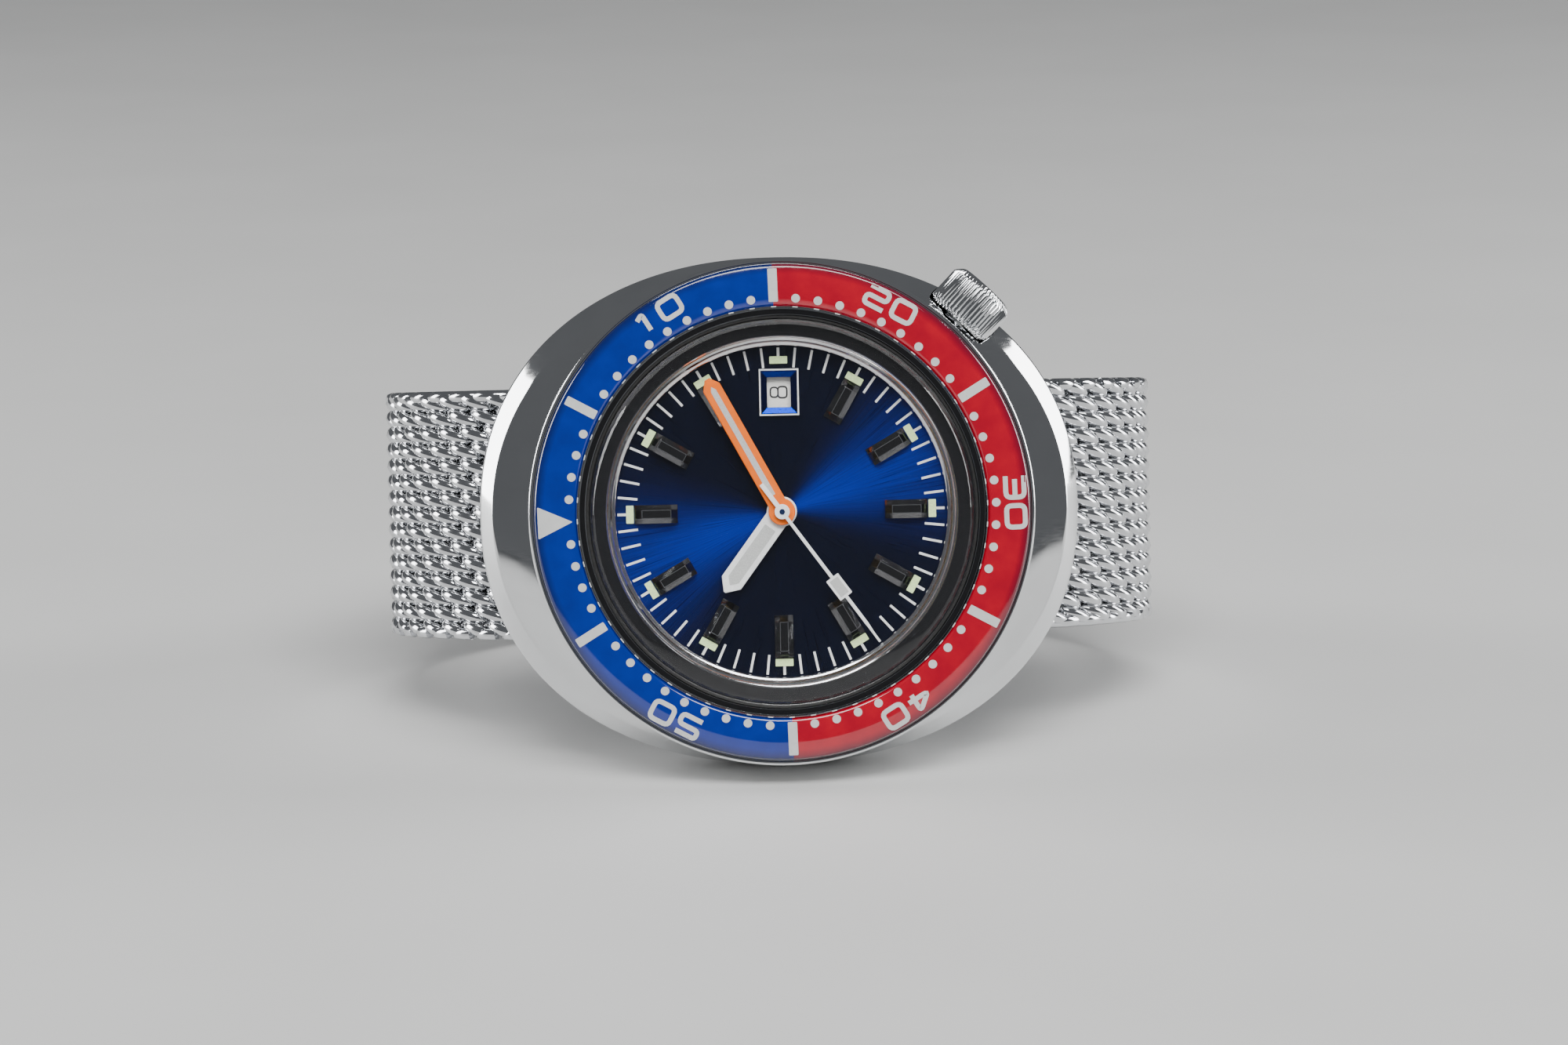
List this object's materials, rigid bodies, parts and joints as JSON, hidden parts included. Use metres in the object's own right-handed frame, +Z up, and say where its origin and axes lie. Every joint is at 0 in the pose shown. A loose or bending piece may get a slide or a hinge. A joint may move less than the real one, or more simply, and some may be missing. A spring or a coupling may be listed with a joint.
{
  "type": "dive watch",
  "caption": "Automatic dive watch with a two-colour turning bezel, screw-down crown, working hands and a steel mesh bracelet with a folding clasp, standing on its side.",
  "frame": {"origin": "centre of the bounding box on the surface that the watch stands on", "axes": "+Z up; +X from 12 to 6 o'clock along the length of the bracelet loop; -Y out of the dial, which leans back by 12.7 degrees"},
  "size_m": [0.07, 0.0604, 0.0443],
  "materials": {
    "polished_steel": "mirror-polished stainless steel",
    "brushed_steel": "satin",
    "black_steel": "gloss black",
    "bezel_blue": "glossy, blue half and red half",
    "dial_blue": "sunburst blue lacquer",
    "date_white": "matt white",
    "hand_orange": "satin orange",
    "hand_white": "satin white",
    "sapphire": "clear",
    "brass": "satin",
    "rubber": "matt black"
  },
  "bodies": {
    "case": {"mid_case": "polished_steel", "case_back": "brushed_steel", "case_back_gasket": "rubber", "crown_tube": "brushed_steel", "crystal": "sapphire", "crystal_gasket": "rubber", "rehaut_ring": "black_steel", "bezel_click_spring": "brushed_steel", "dial": "dial_blue", "date_frame": "hand_white", "main_plate": "brass", "movement_ring": "brushed_steel", "balance_cock": "brushed_steel", "train_bridge": "brushed_steel", "rotor_bearing": "polished_steel", "spring_bar_12": "brushed_steel", "spring_bar_6": "brushed_steel", "hour_marker_01": "black_steel", "hour_marker_02": "black_steel", "hour_marker_04": "black_steel", "hour_marker_05": "black_steel", "hour_marker_06": "black_steel", "hour_marker_07": "black_steel", "hour_marker_08": "black_steel", "hour_marker_09": "black_steel", "hour_marker_10": "black_steel", "hour_marker_11": "black_steel", "hour_marker_12": "black_steel"},
    "bezel": {"bezel_ring": "polished_steel", "bezel_insert": "bezel_blue"},
    "setting_lever": {"setting_lever": "brushed_steel"},
    "crown": {"crown": "polished_steel", "winding_stem": "brushed_steel"},
    "hour_hand": {"hour_hand": "hand_white", "hour_wheel": "brass"},
    "minute_hand": {"minute_hand": "hand_orange", "centre_wheel": "brass"},
    "seconds_hand": {"seconds_hand": "hand_white", "seconds_wheel": "brass"},
    "date_disc": {"date_disc": "date_white"},
    "barrel": {"barrel": "brass"},
    "third_wheel": {"third_wheel": "brass"},
    "escape_wheel": {"escape_wheel": "brushed_steel"},
    "pallet_fork": {"pallet_fork": "brushed_steel"},
    "balance_wheel": {"balance_wheel": "brass"},
    "rotor": {"rotor": "brushed_steel"},
    "band_12_1": {"band_12_1": "polished_steel"},
    "band_12_2": {"band_12_2": "polished_steel"},
    "band_12_3": {"band_12_3": "polished_steel"},
    "band_12_4": {"band_12_4": "polished_steel"},
    "band_12_5": {"band_12_5": "polished_steel"},
    "band_6_1": {"band_6_1": "polished_steel"},
    "band_6_2": {"band_6_2": "polished_steel"},
    "band_6_3": {"band_6_3": "polished_steel"},
    "band_6_4": {"band_6_4": "polished_steel"},
    "band_6_5": {"band_6_5": "polished_steel"},
    "clasp_base": {"clasp_base": "brushed_steel"},
    "clasp_blade": {"clasp_blade": "brushed_steel"},
    "clasp_cover": {"clasp_cover": "polished_steel"}
  },
  "joints": [
    {"name": "bezel_turn", "type": "hinge", "parent": "case", "child": "bezel", "pos_m": [0, -0.02389, 0.02287], "axis": [0, -0.9754, 0.2203], "continuous": true},
    {"name": "crown_pull", "type": "slide", "parent": "case", "child": "setting_lever", "axis": [0.6947, 0.1584, 0.7017], "range_m": [0, 0.0035]},
    {"name": "crown_turn", "type": "hinge", "parent": "setting_lever", "child": "crown", "pos_m": [0.01556, -0.01653, 0.03773], "axis": [0.6947, 0.1584, 0.7017], "continuous": true},
    {"name": "seconds_turn", "type": "hinge", "parent": "case", "child": "seconds_hand", "pos_m": [0, -0.02355, 0.02279], "axis": [0, 0.9754, -0.2203], "continuous": true},
    {"name": "minute_turn", "type": "hinge", "parent": "case", "child": "minute_hand", "pos_m": [0, -0.02316, 0.0227], "axis": [0, 0.9754, -0.2203], "continuous": true},
    {"name": "hour_turn", "type": "hinge", "parent": "case", "child": "hour_hand", "pos_m": [0, -0.02277, 0.02262], "axis": [0, 0.9754, -0.2203], "continuous": true},
    {"name": "date_turn", "type": "hinge", "parent": "case", "child": "date_disc", "pos_m": [0, -0.02125, 0.02227], "axis": [0, 0.9754, -0.2203], "continuous": true},
    {"name": "barrel_turn", "type": "hinge", "parent": "case", "child": "barrel", "pos_m": [-0.00537, -0.0198, 0.01644], "axis": [0, 0.9754, -0.2203], "continuous": true},
    {"name": "third_wheel_turn", "type": "hinge", "parent": "case", "child": "third_wheel", "pos_m": [-0.00108, -0.01718, 0.02761], "axis": [0, 0.9754, -0.2203], "continuous": true},
    {"name": "escape_wheel_turn", "type": "hinge", "parent": "case", "child": "escape_wheel", "pos_m": [0.0062, -0.01773, 0.02379], "axis": [0, 0.9754, -0.2203], "continuous": true},
    {"name": "pallet_fork_rock", "type": "hinge", "parent": "case", "child": "pallet_fork", "pos_m": [0.00637, -0.01833, 0.02117], "axis": [0, 0.9754, -0.2203], "range_deg": [-5, 5]},
    {"name": "balance_swing", "type": "hinge", "parent": "case", "child": "balance_wheel", "pos_m": [0.00658, -0.0197, 0.01803], "axis": [0, 0.9754, -0.2203], "range_deg": [-270, 270], "stiffness_Nm_per_rad": 0.00000025},
    {"name": "rotor_swing", "type": "hinge", "parent": "case", "child": "rotor", "pos_m": [0, -0.01657, 0.02122], "axis": [0, 0.9754, -0.2203], "continuous": true},
    {"name": "spring_bar_12_hinge", "type": "hinge", "parent": "case", "child": "band_12_1", "pos_m": [-0.0204, -0.01585, 0.02105], "axis": [0, 0.2203, 0.9754], "range_deg": [0, 30]},
    {"name": "band_12_flex_1", "type": "hinge", "parent": "band_12_1", "child": "band_12_2", "pos_m": [-0.02954, -0.00817, 0.01932], "axis": [0, 0.2203, 0.9754], "range_deg": [0, 24]},
    {"name": "band_12_flex_2", "type": "hinge", "parent": "band_12_2", "child": "band_12_3", "pos_m": [-0.03335, 0.0015, 0.01714], "axis": [0, 0.2203, 0.9754], "range_deg": [0, 24]},
    {"name": "band_12_flex_3", "type": "hinge", "parent": "band_12_3", "child": "band_12_4", "pos_m": [-0.03112, 0.01142, 0.0149], "axis": [0, 0.2203, 0.9754], "range_deg": [0, 24]},
    {"name": "band_12_flex_4", "type": "hinge", "parent": "band_12_4", "child": "band_12_5", "pos_m": [-0.02326, 0.01978, 0.01301], "axis": [0, 0.2203, 0.9754], "range_deg": [0, 24]},
    {"name": "spring_bar_6_hinge", "type": "hinge", "parent": "case", "child": "band_6_1", "pos_m": [0.0204, -0.01585, 0.02105], "axis": [0, -0.2203, -0.9754], "range_deg": [0, 30]},
    {"name": "band_6_flex_1", "type": "hinge", "parent": "band_6_1", "child": "band_6_2", "pos_m": [0.02954, -0.00817, 0.01932], "axis": [0, -0.2203, -0.9754], "range_deg": [0, 24]},
    {"name": "band_6_flex_2", "type": "hinge", "parent": "band_6_2", "child": "band_6_3", "pos_m": [0.03335, 0.0015, 0.01714], "axis": [0, -0.2203, -0.9754], "range_deg": [0, 24]},
    {"name": "band_6_flex_3", "type": "hinge", "parent": "band_6_3", "child": "band_6_4", "pos_m": [0.03112, 0.01142, 0.0149], "axis": [0, -0.2203, -0.9754], "range_deg": [0, 24]},
    {"name": "band_6_flex_4", "type": "hinge", "parent": "band_6_4", "child": "band_6_5", "pos_m": [0.02326, 0.01978, 0.01301], "axis": [0, -0.2203, -0.9754], "range_deg": [0, 24]},
    {"name": "clasp_base_hinge", "type": "hinge", "parent": "band_6_5", "child": "clasp_base", "pos_m": [0.0112, 0.02508, 0.01181], "axis": [0, -0.2203, -0.9754], "range_deg": [0, 35]},
    {"name": "clasp_blade_fold", "type": "hinge", "parent": "clasp_base", "child": "clasp_blade", "pos_m": [-0.0086, 0.02562, 0.01169], "axis": [0, 0.2203, 0.9754], "range_deg": [0, 155]},
    {"name": "clasp_cover_fold", "type": "hinge", "parent": "clasp_blade", "child": "clasp_cover", "pos_m": [0.0086, 0.02562, 0.01169], "axis": [0, -0.2203, -0.9754], "range_deg": [0, 155]}
  ],
  "couplings": [
    {"joint": "minute_turn", "follows": "seconds_turn", "ratio": 0.016667},
    {"joint": "hour_turn", "follows": "seconds_turn", "ratio": 0.0013889},
    {"joint": "date_turn", "follows": "seconds_turn", "ratio": 0.000022401},
    {"joint": "barrel_turn", "follows": "seconds_turn", "ratio": -0.0022222},
    {"joint": "third_wheel_turn", "follows": "seconds_turn", "ratio": -0.13333},
    {"joint": "escape_wheel_turn", "follows": "seconds_turn", "ratio": -16},
    {"joint": "clasp_cover_fold", "follows": "clasp_blade_fold", "ratio": 1}
  ]
}
